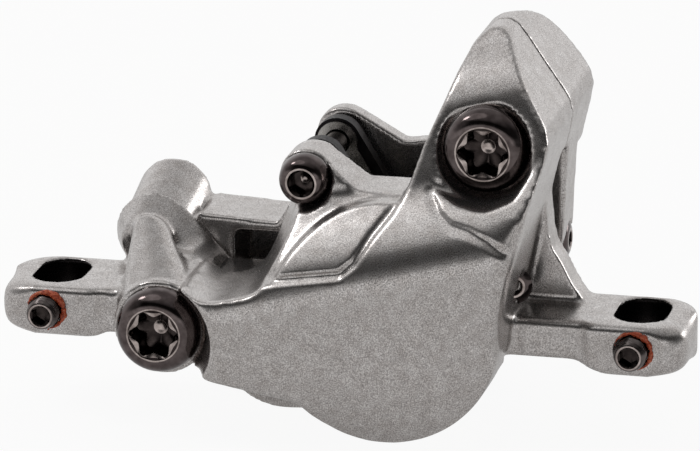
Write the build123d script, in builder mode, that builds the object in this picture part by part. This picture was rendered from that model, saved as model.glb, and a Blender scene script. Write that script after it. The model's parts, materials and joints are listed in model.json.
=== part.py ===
from build123d import *
import os
from math import cos, sin, radians

# Hydraulic disc brake caliper for a bicycle, post mount, with a split body and two opposed pistons.
# Frame: the origin lies midway between the two mounting slots, on the ears' underside. X runs from
# slot to slot, Y runs from the outboard face towards the wheel, and Z points away from the posts.
# A height in front of the slots, towards the outboard side, is written h, so that y is -h.

os.makedirs("parts", exist_ok=True)

# Mounting ears
slot_span = 74.2
slot_width = 6.5
slot_length = 9.3
ear_thickness = 6.5
ear_front = 7.4
ear_back = 6.0
ear_tip = 6.6
ear_tip_front_radius = 3.0
ear_tip_back_radius = 5.5
ear_top_radius = 0.9
ear_edge_radius = 1.3
ear_neck_start = 5.2
ear_neck_ramp = 1.4
ear_neck_setback = 0.6
left_ear_root = 15.6
right_ear_root = 17.6
left_neck_end = 6.0
right_neck_end = 3.2
left_neck_ramp = 1.6
right_neck_ramp = 4.3
left_neck_rise = 0.9
right_neck_rise = 1.7
set_screw_radius = 2.0
set_screw_length = 6.0
set_screw_height = 3.5
set_screw_front = 9.8
set_screw_socket = 1.0
set_screw_chamfer = 0.3
set_screw_socket_depth = 2.0
thread_clearance = 0.05

# Rotor, pads and the tilt of the pads' centre line about the piston axis
rotor_offset = 8.0
rotor_radius = 80.0
track_depth = 7.5
rotor_slot_width = 5.0
rotor_slot_clearance = 2.0
pad_tilt = 31.0
piston_x = 7.6
piston_z = 6.4
friction_gap = 1.25
friction_thickness = 2.5
friction_width = 22.6
friction_bottom = 9.4
friction_top_inset = 0.6
friction_corner_radius = 1.6
backing_thickness = 1.8
backing_width = 27.0
backing_bottom = 10.2
backing_top = 8.3
backing_corner_radius = 2.2
backing_neck_width = 6.0
backing_ear_radius = 2.6
pad_side_clearance = 0.2
pad_back_clearance = 1.15
pad_pin_clearance = 0.15

# Body bolts and pad pin, placed in the pads' tilted frame
bolt_height = 12.3
left_bolt_reach = 26.6
right_bolt_reach = 20.3
bolt_radius = 3.0
bolt_clearance = 0.2
bolt_head_radius = 5.45
bolt_head_height = 3.2
bolt_head_dome = 2.8
bolt_socket_radius = 2.8
bolt_socket_depth = 2.0
left_bolt_length = 25.0
right_bolt_length = 20.0
pin_reach = 2.1
pin_height = 19.4
pin_head_radius = 3.25
pin_head_height = 3.0
pin_head_dome = 1.8
pin_socket_radius = 1.45
pin_socket_depth = 1.6
pin_thread_radius = 2.3
pin_radius = 1.5
pin_end = 2.2
clip_radius = 2.9
clip_thickness = 0.5
clip_gap = 0.2
clip_groove_radius = 1.1
clip_mouth_share = 0.8
bolt_tip_chamfer = 0.6

# Outboard half
body_front = 16.0
bulge_radius = 14.5
slope_tilt = 15.0
panel_drop = 1.7
bridge_drop = 10.4
skirt_front = 2.0
skirt_radius = 9.0
skirt_x = 7.9
skirt_z = 0.2
window_left = 17.7
window_floor = 4.2
lobe_x = 27.0
lobe_z = 9.6
lobe_radius = 5.3
lobe_depth = 4.6
lobe_taper = 24.0
rib_x = 26.4
rib_z = 11.6
rib_radius = 2.4
rib_start = 4.6
rib_end_radius = 5.9
rib_front = 9.0
bolt_boss_radius = 6.0
bridge_tilt = 10.0
left_seat = 10.0
right_seat = 4.5
seat_radius = 5.85
recess_front = 7.8
left_recess_taper = 20.0
pin_boss_radius = 3.5
pin_boss_front = 3.9
web_depth = 4.5
overrun = 6.0

# Inboard half
inboard_bulge_radius = 14.0
inboard_bulge_depth = 18.4
inboard_body_depth = 9.4
inboard_tower_depth = 13.8
inboard_lobe_x = 26.9
inboard_lobe_z = 12.0
inboard_lobe_radius = 4.9
inboard_lobe_root_radius = 4.6
inboard_lobe_depth = 9.0
inboard_boss_depth = 11.5
hose_port_radius = 3.4
hose_port_depth = 5.0
hose_port_z = 11.4
passage_radius = 1.1
lobe_passage = 3.6
bolt_tip_clearance = 2.5
inboard_window_left = 9.5
inboard_pocket_left = 16.8
inboard_pocket_top = 10.5

# Pistons and seals
bore_radius = 11.0
bore_depth = 9.4
piston_clearance = 0.05
piston_length = 8.4
piston_cup_radius = 8.4
piston_cup_depth = 6.4
piston_edge = 0.5
piston_pad_gap = 0.05
seal_inset = 2.0
seal_width = 2.2
seal_height = 1.9
oring_outer = 3.2
oring_inner = 1.5
oring_depth = 1.3
oring_round = 0.4

# Bleed screws
bleed_radius = 1.6
bleed_flange_radius = 2.4
bleed_turn = 18.0
bleed_flange = 0.9
bleed_length = 2.0
bleed_socket = 0.9
bleed_z = 9.5
bleed_h = 4.6
bleed_side_x = 22.4
bleed_passage = 0.8
bleed_reach = 5.0
inboard_bleed_z = 10.0
inboard_bleed_depth = 7.0
inboard_side_x = 24.1

# Pad spring
spring_thickness = 0.3
spring_gap = 0.05
spring_leg_bottom = 5.5
spring_neck = 3.6
spring_bridge_height = 11.2
spring_strip = 0.8
spring_slack = 1.0
spring_inset = 1.0
spring_drop = 0.5

# Outlines in the X-Z plane, as shares of the slot span
tower_shares = (
    (0.337, 0.285), (0.355, 0.360), (0.359, 0.388), (0.353, 0.411), (0.343, 0.427), (0.314, 0.468),
    (0.284, 0.513), (0.2675, 0.534), (0.252, 0.543), (0.229, 0.539), (0.206, 0.517), (0.190, 0.480),
    (0.176, 0.440),
)
plate_shares = (
    (-0.245, -0.012), (-0.076, -0.042), (0.108, -0.060), (0.283, 0.027), *tower_shares, (0.146, 0.366),
    (0.128, 0.310), (0.108, 0.268), (0.081, 0.233), (0.058, 0.195), (0.035, 0.176), (-0.100, 0.152),
    (-0.230, 0.146), (-0.275, 0.085),
)
panel_shares = (
    (-0.092, 0.060), (-0.089, 0.149), (-0.067, 0.188), (-0.034, 0.234), (-0.017, 0.241), (0.095, 0.260),
    (0.160, 0.300), (0.170, 0.060),
)
recess_shares = (
    (0.120, 0.385), (0.147, 0.332), (0.175, 0.308), (0.218, 0.293), (0.270, 0.291), (0.312, 0.310),
    (0.334, 0.350), (0.334, 0.420), (0.230, 0.480), (0.120, 0.480),
)
bridge_shares = (
    (-0.150, 0.060), (-0.150, 0.110), (-0.137, 0.163), (-0.113, 0.214), (-0.057, 0.300),
    (-0.020, 0.326), (0.036, 0.286), (0.160, 0.286), (0.180, 0.060),
)
web_shares = (
    (0.270, 0.010), (0.428, 0.010), (0.404, 0.080), (0.377, 0.118), (0.360, 0.152), (0.344, 0.177),
    (0.337, 0.205), (0.331, 0.275), (0.270, 0.300),
)
window_shares = ((0.085, 0.100), (0.106, 0.270), (0.280, 0.700))
tower_slope_shares = (
    (0.090, 1.000), (0.130, 0.990), (0.160, 0.950), (0.185, 0.880), (0.208, 0.780), (0.230, 0.665),
    (0.262, 0.510), (0.300, 0.425), (0.340, 0.345), (0.370, 0.270), (0.400, 0.150), (0.4285, -0.030),
    (0.470, -0.300),
)
valley_shares = (
    (0.215, 0.860), (0.235, 0.720), (0.247, 0.560), (0.258, 0.440), (0.272, 0.370), (0.292, 0.345),
    (0.400, 0.340),
)
scoop_back_shares = (
    (-0.290, 0.175), (-0.265, 0.130), (-0.248, 0.110), (-0.228, 0.094), (-0.192, 0.098), (-0.165, 0.122),
    (-0.150, 0.155), (-0.130, 0.230), (-0.100, 0.330),
)
scoop_front_shares = (
    (-0.262, 0.175), (-0.238, 0.136), (-0.217, 0.122), (-0.187, 0.118), (-0.145, 0.126), (-0.108, 0.138),
    (-0.084, 0.166), (-0.026, 0.246), (0.020, 0.330),
)
tower_foot_share = (0.128, 0.300)
inboard_shares = (
    (-0.245, -0.012), (-0.076, -0.042), (0.108, -0.060), (0.300, 0.027), (0.335, 0.150),
    (0.342, 0.290), (0.352, 0.370), (0.285, 0.500), (0.236, 0.500), tower_foot_share,
    (0.050, 0.290), (-0.031, 0.336), (-0.100, 0.290), (-0.110, 0.230), (-0.150, 0.160),
    (-0.290, 0.168), (-0.330, 0.030),
)
inboard_slope_shares = (
    (0.200, 1.010), (0.300, 1.005), (0.345, 0.995), (0.370, 0.960), (0.400, 0.860), (0.4224, 0.730),
    (0.4515, 0.390), (0.500, -0.200),
)


def front(h):
    """Plane that faces the outboard side, h in front of the slots."""
    return Plane.XZ.offset(h)


def pad_point(u, v):
    """Place in X-Z of a point u along and v up the pads' tilted frame."""
    c, s = cos(radians(pad_tilt)), sin(radians(pad_tilt))
    return (piston_x + u * c - v * s, piston_z + u * s + v * c)


def pad_plane(h):
    """Plane at h in the pads' tilted frame, centred on the piston axis."""
    c, s = cos(radians(pad_tilt)), sin(radians(pad_tilt))
    return Plane(origin=(piston_x, -h, piston_z), x_dir=(c, 0, s), z_dir=(0, -1, 0))


def bleed_plane(x, h, z, turn):
    """Plane at a bleed screw's seat, facing right and turned a little to the front."""
    c, s = cos(radians(turn)), sin(radians(turn))
    return Plane(origin=(x, -h, z), x_dir=(s, c, 0), z_dir=(c, -s, 0))


def slope_plane(tilt):
    """Plane across a slope that rises at right angles to the given tilt from X."""
    return Plane(origin=(0, 0, 0), x_dir=(0, 1, 0), z_dir=(cos(radians(tilt)), 0, sin(radians(tilt))))


def shaped(shares):
    """Outline points in X-Z from shares of the slot span."""
    return [(x * slot_span, z * slot_span) for x, z in shares]


piston_axis = (piston_x, piston_z)
left_bolt_axis = pad_point(-left_bolt_reach, bolt_height)
right_bolt_axis = pad_point(right_bolt_reach, bolt_height)
pin_axis = pad_point(-pin_reach, pin_height)
rotor_centre = pad_point(0, track_depth - rotor_radius)
lobe_axis = (-lobe_x, lobe_z)
inboard_lobe_axis = (-inboard_lobe_x, inboard_lobe_z)
split = -rotor_offset
slot_face = split + rotor_slot_width / 2
slot_ceiling = rotor_radius + rotor_slot_clearance
pad_back = friction_gap + friction_thickness + backing_thickness
cavity_depth = pad_back + pad_back_clearance
cavity_floor = split + cavity_depth
inboard_floor = split - cavity_depth
clip_face = split - inboard_body_depth - clip_gap
pin_tip = clip_face - pin_end


def pad_outline(grow):
    """Backing plate without its neck, grown all round, in the pads' tilted frame."""
    middle = (backing_top - backing_bottom) / 2
    with Locations((0, middle)):
        RectangleRounded(
            backing_width + 2 * grow, backing_top + backing_bottom + 2 * grow, backing_corner_radius
        )


def outline_face(points):
    """Closed flat face through the given points, to be added to a sketch."""
    with BuildSketch() as face:
        with BuildLine():
            Polyline(*points, close=True)
        make_face()
    return face.sketch


def slope_outline(shares, start, depth):
    """Everything past a curved slope: heights are shares of the depth, counted from the start."""
    points = [(start + h * depth, z * slot_span) for z, h in shares]
    high, low, out = points[-1][1] + slot_span, points[0][1], start + 2 * depth
    with BuildSketch() as face:
        with BuildLine():
            Spline(*points)
            Polyline(points[-1], (points[-1][0], high), (out, high), (out, low), points[0])
        make_face()
    return face.sketch


def scoop_outline(shares):
    """Everything above one end of the curved scoop."""
    points = shaped(shares)
    high = slot_span
    with BuildSketch() as face:
        with BuildLine():
            Spline(*points)
            Polyline(points[-1], (points[-1][0], high), (points[0][0], high), points[0])
        make_face()
    return face.sketch


def window_outline(left):
    """Opening between the halves, above the pads, from its left end to the tower."""
    right, middle, top = shaped(window_shares)
    return outline_face([(left, window_floor), right, middle, top, (left, top[1])])


def ear_outline(side, root):
    """Plan of one mounting ear, from its root in the body to its rounded tip."""
    tip = side * (slot_span / 2 + ear_tip)
    inner, neck, foot = (side * (slot_span / 2 - reach) for reach in (
        root, ear_neck_start + ear_neck_ramp, ear_neck_start
    ))
    back = ear_neck_setback - ear_front
    with BuildSketch() as plan:
        add(outline_face([
            (inner, back), (neck, back), (foot, -ear_front), (tip, -ear_front), (tip, ear_back),
            (inner, ear_back),
        ]))
        outer = plan.vertices().sort_by(Axis.X, reverse=side > 0)[:2].sort_by(Axis.Y)
        fillet(outer[0], ear_tip_front_radius)
        outer = plan.vertices().sort_by(Axis.Y)[-2:].sort_by(Axis.X, reverse=side > 0)
        fillet(outer[0], ear_tip_back_radius)
    return plan.sketch


def ear_front_edges(ear, end):
    """Edges along the ear's front, on its top or its underside."""
    face = ear.faces().sort_by(Axis.Z)[end]
    return face.edges().filter_by(lambda edge: edge.center().Y < -ear_front / 2)


# Mounting ears with rounded edges
with BuildPart() as left_ear:
    with BuildSketch(Plane.XY):
        add(ear_outline(-1, left_ear_root))
    extrude(amount=ear_thickness)
    fillet(ear_front_edges(left_ear, -1), ear_top_radius)
    fillet(ear_front_edges(left_ear, 0), ear_edge_radius)

with BuildPart() as right_ear:
    with BuildSketch(Plane.XY):
        add(ear_outline(1, right_ear_root))
    extrude(amount=ear_thickness)
    fillet(ear_front_edges(right_ear, -1), ear_top_radius)
    fillet(ear_front_edges(right_ear, 0), ear_edge_radius)

# Panel behind the plate's step, and the bridge that carries the pad pin
with BuildPart() as bridge:
    with BuildSketch(front(body_front - panel_drop)):
        add(outline_face(shaped(panel_shares)))
        add(outline_face(shaped(bridge_shares)))
    extrude(amount=split - body_front + panel_drop)
    with BuildSketch(slope_plane(slope_tilt)):
        add(slope_outline(tower_slope_shares, panel_drop, -body_front))
    extrude(amount=slot_span, both=True, mode=Mode.SUBTRACT)
    with BuildSketch(slope_plane(bridge_tilt)):
        add(slope_outline(valley_shares, 0, -body_front))
    extrude(amount=slot_span, both=True, mode=Mode.SUBTRACT)

with BuildPart() as outboard_body:
    # Plate, bulge and tower
    with BuildSketch(front(body_front)):
        add(outline_face(shaped(plate_shares)))
        with Locations(piston_axis):
            Circle(bulge_radius)
    extrude(amount=split - body_front)
    # Sloping front of the tower
    with BuildSketch(slope_plane(slope_tilt)):
        add(slope_outline(tower_slope_shares, 0, -body_front))
    extrude(amount=slot_span, both=True, mode=Mode.SUBTRACT)
    add(bridge.part)
    # Step down from the plate to the right bolt's recess
    with BuildSketch(front(body_front)):
        add(outline_face(shaped(recess_shares)))
    extrude(amount=recess_front - body_front, mode=Mode.SUBTRACT)
    # Skirt beside the pads, left bolt boss and lobe
    with BuildSketch(front(skirt_front)):
        with Locations((-skirt_x, -skirt_z)):
            Circle(skirt_radius)
        with Locations(piston_axis):
            Circle(bulge_radius)
        make_hull()
    extrude(amount=slot_face - skirt_front)
    with BuildSketch(front(left_seat)):
        with Locations(left_bolt_axis):
            Circle(bolt_boss_radius)
    extrude(amount=split - left_seat)
    with BuildSketch(front(split)):
        with Locations(lobe_axis):
            Circle(lobe_radius)
        with Locations(left_bolt_axis):
            Circle(bolt_boss_radius)
        make_hull()
    extrude(amount=lobe_depth, taper=lobe_taper)
    # Scoop between the lobe and the pad pin
    with BuildSketch(front(split)):
        add(scoop_outline(scoop_back_shares))
    with BuildSketch(front(body_front)):
        add(scoop_outline(scoop_front_shares))
    loft(mode=Mode.SUBTRACT)
    # Rib from the lobe down to the left bolt
    with BuildSketch(front(split + rib_start)):
        with Locations((-rib_x, rib_z)):
            Circle(rib_radius)
    with BuildSketch(front(rib_front)):
        with Locations(left_bolt_axis):
            Circle(rib_end_radius)
    loft()
    # Pad pin boss
    with BuildSketch(front(pin_boss_front)):
        with Locations(pin_axis):
            Circle(pin_boss_radius)
    extrude(amount=cavity_floor - pin_boss_front)
    # Web from the right ear to the tower
    with BuildSketch(front(slot_face)):
        add(outline_face(shaped(web_shares)))
    extrude(amount=web_depth)
    # Ears
    add(left_ear.part)
    add(right_ear.part)
    # Pad cavity, window and rotor slot
    with BuildSketch(pad_plane(split)):
        pad_outline(pad_side_clearance)
        with Locations((0, -backing_bottom)):
            Rectangle(backing_width + 2 * pad_side_clearance, 2 * overrun)
    extrude(amount=cavity_depth, mode=Mode.SUBTRACT)
    with BuildSketch(front(split)):
        add(window_outline(-window_left))
    extrude(amount=cavity_depth, mode=Mode.SUBTRACT)
    with BuildSketch(front(split)):
        with Locations(rotor_centre):
            Circle(slot_ceiling)
    extrude(amount=slot_face - split, mode=Mode.SUBTRACT)
    # Piston bore and seal groove
    with BuildSketch(front(split + friction_gap)):
        with Locations(piston_axis):
            Circle(bore_radius)
    extrude(amount=cavity_depth - friction_gap + bore_depth, mode=Mode.SUBTRACT)
    with BuildSketch(front(cavity_floor + seal_inset)):
        with Locations(piston_axis):
            Circle(bore_radius + seal_height)
    extrude(amount=seal_width, mode=Mode.SUBTRACT)
    # Body bolt holes and seats
    with BuildSketch(front(split)):
        with Locations(left_bolt_axis, right_bolt_axis):
            Circle(bolt_radius + bolt_clearance)
    extrude(amount=body_front - split, mode=Mode.SUBTRACT)
    with BuildSketch(front(right_seat)):
        with Locations(right_bolt_axis):
            Circle(seat_radius)
    extrude(amount=body_front, mode=Mode.SUBTRACT)
    with BuildSketch(front(left_seat)):
        with Locations(left_bolt_axis):
            Circle(seat_radius)
    extrude(amount=body_front - left_seat + thread_clearance, taper=-left_recess_taper, mode=Mode.SUBTRACT)
    # Pad pin seat
    with BuildSketch(front(pin_boss_front)):
        with Locations(pin_axis):
            Circle(pin_boss_radius)
    extrude(amount=body_front, mode=Mode.SUBTRACT)
    # Pad pin bore, ear slots, raised necks and set screw bores
    with BuildSketch(front(pin_boss_front)):
        with Locations(pin_axis):
            Circle(pin_thread_radius + thread_clearance)
    extrude(amount=cavity_floor - pin_boss_front, mode=Mode.SUBTRACT)
    with BuildSketch(Plane.XY):
        with Locations((-slot_span / 2, 0), (slot_span / 2, 0)):
            SlotOverall(slot_length, slot_width, rotation=90)
    extrude(amount=ear_thickness, mode=Mode.SUBTRACT)
    with BuildSketch(front(ear_front)):
        for side, end, ramp, root, rise in (
            (-1, left_neck_end, left_neck_ramp, left_ear_root, left_neck_rise),
            (1, right_neck_end, right_neck_ramp, right_ear_root, right_neck_rise),
        ):
            near, far, foot = (side * (slot_span / 2 - reach) for reach in (root, end + ramp, end))
            add(outline_face([(near, -overrun), (near, rise), (far, rise), (foot, 0), (foot, -overrun)]))
    extrude(amount=-ear_front - ear_back, mode=Mode.SUBTRACT)
    with BuildSketch(front(ear_front)):
        with Locations((-slot_span / 2, set_screw_height), (slot_span / 2, set_screw_height)):
            Circle(set_screw_radius + thread_clearance)
    extrude(amount=-ear_front, mode=Mode.SUBTRACT)
    # Bleed screw bore in the right side
    with BuildSketch(bleed_plane(bleed_side_x, bleed_h, bleed_z, bleed_turn)):
        Circle(bleed_flange_radius + thread_clearance)
    extrude(amount=overrun / 2, mode=Mode.SUBTRACT)
    with BuildSketch(bleed_plane(bleed_side_x, bleed_h, bleed_z, bleed_turn)):
        Circle(bleed_radius + thread_clearance)
    extrude(amount=-bleed_length, mode=Mode.SUBTRACT)
    with BuildSketch(bleed_plane(bleed_side_x, bleed_h, bleed_z, bleed_turn)):
        Circle(bleed_passage)
    extrude(amount=-bleed_reach, mode=Mode.SUBTRACT)
    # Fluid passage through the lobe
    with BuildSketch(front(split)):
        with Locations(lobe_axis):
            Circle(passage_radius)
    extrude(amount=lobe_passage, mode=Mode.SUBTRACT)

outboard_body.part.label = "outboard_body"
export_step(outboard_body.part, "parts/outboard_body.step")

with BuildPart() as inboard_body:
    # Block beside the wheel, with the ridge up to the pin loop
    with BuildSketch(front(split)):
        add(outline_face(shaped(inboard_shares)))
        with Locations(piston_axis):
            Circle(inboard_bulge_radius)
        with Locations(left_bolt_axis):
            Circle(bolt_boss_radius)
    extrude(amount=-inboard_body_depth)
    # Bulge over the cylinder
    with BuildSketch(front(split)):
        with Locations(piston_axis):
            Circle(inboard_bulge_radius)
    extrude(amount=-inboard_bulge_depth)
    # Tower and pin loop
    with BuildSketch(front(split)):
        add(outline_face(shaped(tower_shares + (tower_foot_share,))))
    extrude(amount=-inboard_tower_depth)
    with BuildSketch(slope_plane(slope_tilt)):
        add(slope_outline(inboard_slope_shares, -split, inboard_tower_depth))
    extrude(amount=slot_span, both=True, mode=Mode.SUBTRACT)
    with BuildSketch(front(split)):
        with Locations(pin_axis):
            Circle(pin_boss_radius)
    extrude(amount=-inboard_body_depth)
    # Left bolt boss, lobe and skirt
    with BuildSketch(front(split)):
        with Locations(left_bolt_axis):
            Circle(bolt_boss_radius)
    extrude(amount=-inboard_boss_depth)
    with BuildSketch(front(split)):
        with Locations(lobe_axis):
            Circle(inboard_lobe_root_radius)
    with BuildSketch(front(split - inboard_lobe_depth)):
        with Locations(inboard_lobe_axis):
            Circle(inboard_lobe_radius)
    loft()
    with BuildSketch(front(split)):
        with Locations((-skirt_x, -skirt_z)):
            Circle(skirt_radius)
        with Locations(piston_axis):
            Circle(inboard_bulge_radius)
        make_hull()
    extrude(amount=-inboard_body_depth)
    # Pad cavity, window and rotor slot
    with BuildSketch(pad_plane(split)):
        pad_outline(pad_side_clearance)
        with Locations((0, -backing_bottom)):
            Rectangle(backing_width + 2 * pad_side_clearance, 2 * overrun)
    extrude(amount=-cavity_depth, mode=Mode.SUBTRACT)
    with BuildSketch(front(split)):
        add(window_outline(-inboard_window_left))
        left, right = -inboard_pocket_left, -inboard_window_left
        low, high = window_floor, inboard_pocket_top
        add(outline_face([(left, low), (right, low), (right, high), (left, high)]))
    extrude(amount=-cavity_depth, mode=Mode.SUBTRACT)
    with BuildSketch(front(split)):
        with Locations(rotor_centre):
            Circle(slot_ceiling)
    extrude(amount=-rotor_slot_width / 2, mode=Mode.SUBTRACT)
    # Piston bore and seal groove
    with BuildSketch(front(split - friction_gap)):
        with Locations(piston_axis):
            Circle(bore_radius)
    extrude(amount=-cavity_depth + friction_gap - bore_depth, mode=Mode.SUBTRACT)
    with BuildSketch(front(inboard_floor - seal_inset)):
        with Locations(piston_axis):
            Circle(bore_radius + seal_height)
    extrude(amount=-seal_width, mode=Mode.SUBTRACT)
    # Threaded bolt holes, pin hole and fluid port
    for axis, tip in (
        (left_bolt_axis, left_seat - left_bolt_length), (right_bolt_axis, right_seat - right_bolt_length)
    ):
        with BuildSketch(front(split)):
            with Locations(axis):
                Circle(bolt_radius + thread_clearance)
        extrude(amount=tip - bolt_tip_clearance - split, mode=Mode.SUBTRACT)
    with BuildSketch(front(split)):
        with Locations(pin_axis):
            Circle(pin_radius + pad_pin_clearance)
    extrude(amount=-inboard_body_depth - overrun, mode=Mode.SUBTRACT)
    with BuildSketch(front(split)):
        with Locations(lobe_axis):
            Circle(passage_radius)
    extrude(amount=-inboard_lobe_depth, mode=Mode.SUBTRACT)
    with BuildSketch(front(split)):
        with Locations(lobe_axis):
            Circle(oring_outer)
    extrude(amount=-oring_depth, mode=Mode.SUBTRACT)
    with BuildSketch(front(split - inboard_lobe_depth)):
        with Locations((-inboard_lobe_x, hose_port_z)):
            Circle(hose_port_radius)
    extrude(amount=hose_port_depth, mode=Mode.SUBTRACT)
    # Bleed screw bore in the right side
    with BuildSketch(bleed_plane(inboard_side_x, split - inboard_bleed_depth, inboard_bleed_z, 0)):
        Circle(bleed_flange_radius + thread_clearance)
    extrude(amount=overrun, mode=Mode.SUBTRACT)
    with BuildSketch(bleed_plane(inboard_side_x, split - inboard_bleed_depth, inboard_bleed_z, 0)):
        Circle(bleed_radius + thread_clearance)
    extrude(amount=-bleed_length, mode=Mode.SUBTRACT)
    with BuildSketch(bleed_plane(inboard_side_x, split - inboard_bleed_depth, inboard_bleed_z, 0)):
        Circle(bleed_passage)
    extrude(amount=-bleed_reach, mode=Mode.SUBTRACT)

inboard_body.part.label = "inboard_body"
export_step(inboard_body.part, "parts/inboard_body.step")
print("solids", len(outboard_body.part.solids()), len(inboard_body.part.solids()))


def cylinder_bolt(axis, seat, length):
    """Button-head body bolt: dome, drive recess and shank, seated at h."""
    with BuildPart() as bolt:
        with BuildSketch(front(seat)):
            with Locations(axis):
                Circle(bolt_head_radius)
        extrude(amount=bolt_head_height)
        fillet(bolt.edges().sort_by(Axis.Y)[0], bolt_head_dome)
        with BuildSketch(front(seat + bolt_head_height)):
            with Locations(axis):
                Circle(bolt_socket_radius)
        extrude(amount=-bolt_socket_depth, mode=Mode.SUBTRACT)
        with BuildSketch(front(seat)):
            with Locations(axis):
                Circle(bolt_radius)
        extrude(amount=-length)
        chamfer(bolt.edges().sort_by(Axis.Y)[-1], bolt_tip_chamfer)
    return bolt.part


def export(name, part):
    """Labels a finished piece and writes its file."""
    part.label = name
    export_step(part, f"parts/{name}.step")


# Body bolts
with BuildPart() as left_body_bolt:
    add(cylinder_bolt(left_bolt_axis, left_seat, left_bolt_length))
export("left_body_bolt", left_body_bolt.part)

with BuildPart() as right_body_bolt:
    add(cylinder_bolt(right_bolt_axis, right_seat, right_bolt_length))
export("right_body_bolt", right_body_bolt.part)

# Pad pin, threaded into the outboard boss and plain through the pads and the inboard loop
with BuildPart() as pad_pin:
    with BuildSketch(front(pin_boss_front)):
        with Locations(pin_axis):
            Circle(pin_head_radius)
    extrude(amount=pin_head_height)
    fillet(pad_pin.edges().sort_by(Axis.Y)[0], pin_head_dome)
    with BuildSketch(front(pin_boss_front + pin_head_height)):
        with Locations(pin_axis):
            RegularPolygon(pin_socket_radius, 6)
    extrude(amount=-pin_socket_depth, mode=Mode.SUBTRACT)
    with BuildSketch(front(pin_boss_front)):
        with Locations(pin_axis):
            Circle(pin_thread_radius)
    extrude(amount=cavity_floor - pin_boss_front)
    with BuildSketch(front(pin_boss_front)):
        with Locations(pin_axis):
            Circle(pin_radius)
    extrude(amount=pin_tip - pin_boss_front)
    with BuildSketch(front(clip_face)):
        with Locations(pin_axis):
            Circle(pin_radius + overrun)
            Circle(clip_groove_radius, mode=Mode.SUBTRACT)
    extrude(amount=-clip_thickness, mode=Mode.SUBTRACT)
export("pad_pin", pad_pin.part)

# Retaining clip in the pin's groove, with an open mouth
with BuildPart() as pin_clip:
    with BuildSketch(front(clip_face)):
        with Locations(pin_axis):
            Circle(clip_radius)
            Circle(clip_groove_radius, mode=Mode.SUBTRACT)
            with Locations((0, -clip_radius)):
                Rectangle(2 * clip_groove_radius * clip_mouth_share, 2 * clip_radius, mode=Mode.SUBTRACT)
    extrude(amount=-clip_thickness)
export("pin_clip", pin_clip.part)

# Pistons, their seals, backing plates and friction blocks, outboard then inboard
for name, side, floor in (("outboard", 1, cavity_floor), ("inboard", -1, inboard_floor)):
    with BuildPart() as piston:
        with BuildSketch(front(split + side * (pad_back + piston_pad_gap))):
            with Locations(piston_axis):
                Circle(bore_radius - piston_clearance)
        extrude(amount=side * piston_length)
        chamfer(piston.edges().filter_by(GeomType.CIRCLE), piston_edge)
        with BuildSketch(front(split + side * (pad_back + piston_pad_gap))):
            with Locations(piston_axis):
                Circle(piston_cup_radius)
        extrude(amount=side * piston_cup_depth, mode=Mode.SUBTRACT)
    export(f"{name}_piston", piston.part)

    with BuildPart() as seal:
        with BuildSketch(front(floor + side * seal_inset)):
            with Locations(piston_axis):
                Circle(bore_radius + seal_height)
                Circle(bore_radius, mode=Mode.SUBTRACT)
        extrude(amount=side * seal_width)
    export(f"{name}_piston_seal", seal.part)

    with BuildPart() as backing:
        with BuildSketch(pad_plane(split + side * (friction_gap + friction_thickness))):
            pad_outline(0)
            with Locations((-pin_reach, (pin_height + backing_top) / 2)):
                Rectangle(backing_neck_width, pin_height - backing_top)
            with Locations((-pin_reach, pin_height)):
                Circle(max(backing_ear_radius, backing_neck_width / 2))
            with Locations((-pin_reach, pin_height)):
                Circle(pin_radius + pad_pin_clearance, mode=Mode.SUBTRACT)
        extrude(amount=side * backing_thickness)
    export(f"{name}_pad_backing", backing.part)

    with BuildPart() as friction:
        with BuildSketch(pad_plane(split + side * friction_gap)):
            with Locations((0, track_depth - rotor_radius)):
                Circle(rotor_radius - friction_top_inset)
            with Locations((0, 0)):
                Rectangle(friction_width, 2 * friction_bottom, mode=Mode.INTERSECT)
            fillet(vertices(), friction_corner_radius)
        extrude(amount=side * friction_thickness)
    export(f"{name}_pad_friction", friction.part)

# Seal of the fluid passage between the halves
with BuildPart() as passage_seal:
    with BuildSketch(front(split)):
        with Locations(lobe_axis):
            Circle(oring_outer - piston_clearance)
            Circle(oring_inner, mode=Mode.SUBTRACT)
    extrude(amount=-oring_depth)
    fillet(passage_seal.edges().filter_by(GeomType.CIRCLE), oring_round)
export("passage_seal", passage_seal.part)

# Bleed screws, each with its flange on the body's right side
for name, x, h, z, turn in (
    ("outboard", bleed_side_x, bleed_h, bleed_z, bleed_turn),
    ("inboard", inboard_side_x, split - inboard_bleed_depth, inboard_bleed_z, 0),
):
    with BuildPart() as bleed_screw:
        with BuildSketch(bleed_plane(x, h, z, turn)):
            Circle(bleed_flange_radius)
        extrude(amount=bleed_flange)
        with BuildSketch(bleed_plane(x, h, z, turn)):
            Circle(bleed_radius)
        extrude(amount=-bleed_length + thread_clearance)
        with BuildSketch(bleed_plane(x, h, z, turn).offset(bleed_flange)):
            RegularPolygon(bleed_socket, 6)
        extrude(amount=-bleed_length, mode=Mode.SUBTRACT)
    export(f"{name}_bleed_screw", bleed_screw.part)

# Set screws that push the caliper across its mounting bolts
for name, side in (("left", -1), ("right", 1)):
    with BuildPart() as set_screw:
        with BuildSketch(front(set_screw_front)):
            with Locations((side * slot_span / 2, set_screw_height)):
                Circle(set_screw_radius)
        extrude(amount=-set_screw_length)
        chamfer(set_screw.edges().filter_by(GeomType.CIRCLE), set_screw_chamfer)
        with BuildSketch(front(set_screw_front)):
            with Locations((side * slot_span / 2, set_screw_height)):
                RegularPolygon(set_screw_socket, 6)
        extrude(amount=-set_screw_socket_depth, mode=Mode.SUBTRACT)
    export(f"{name}_set_screw", set_screw.part)

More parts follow.
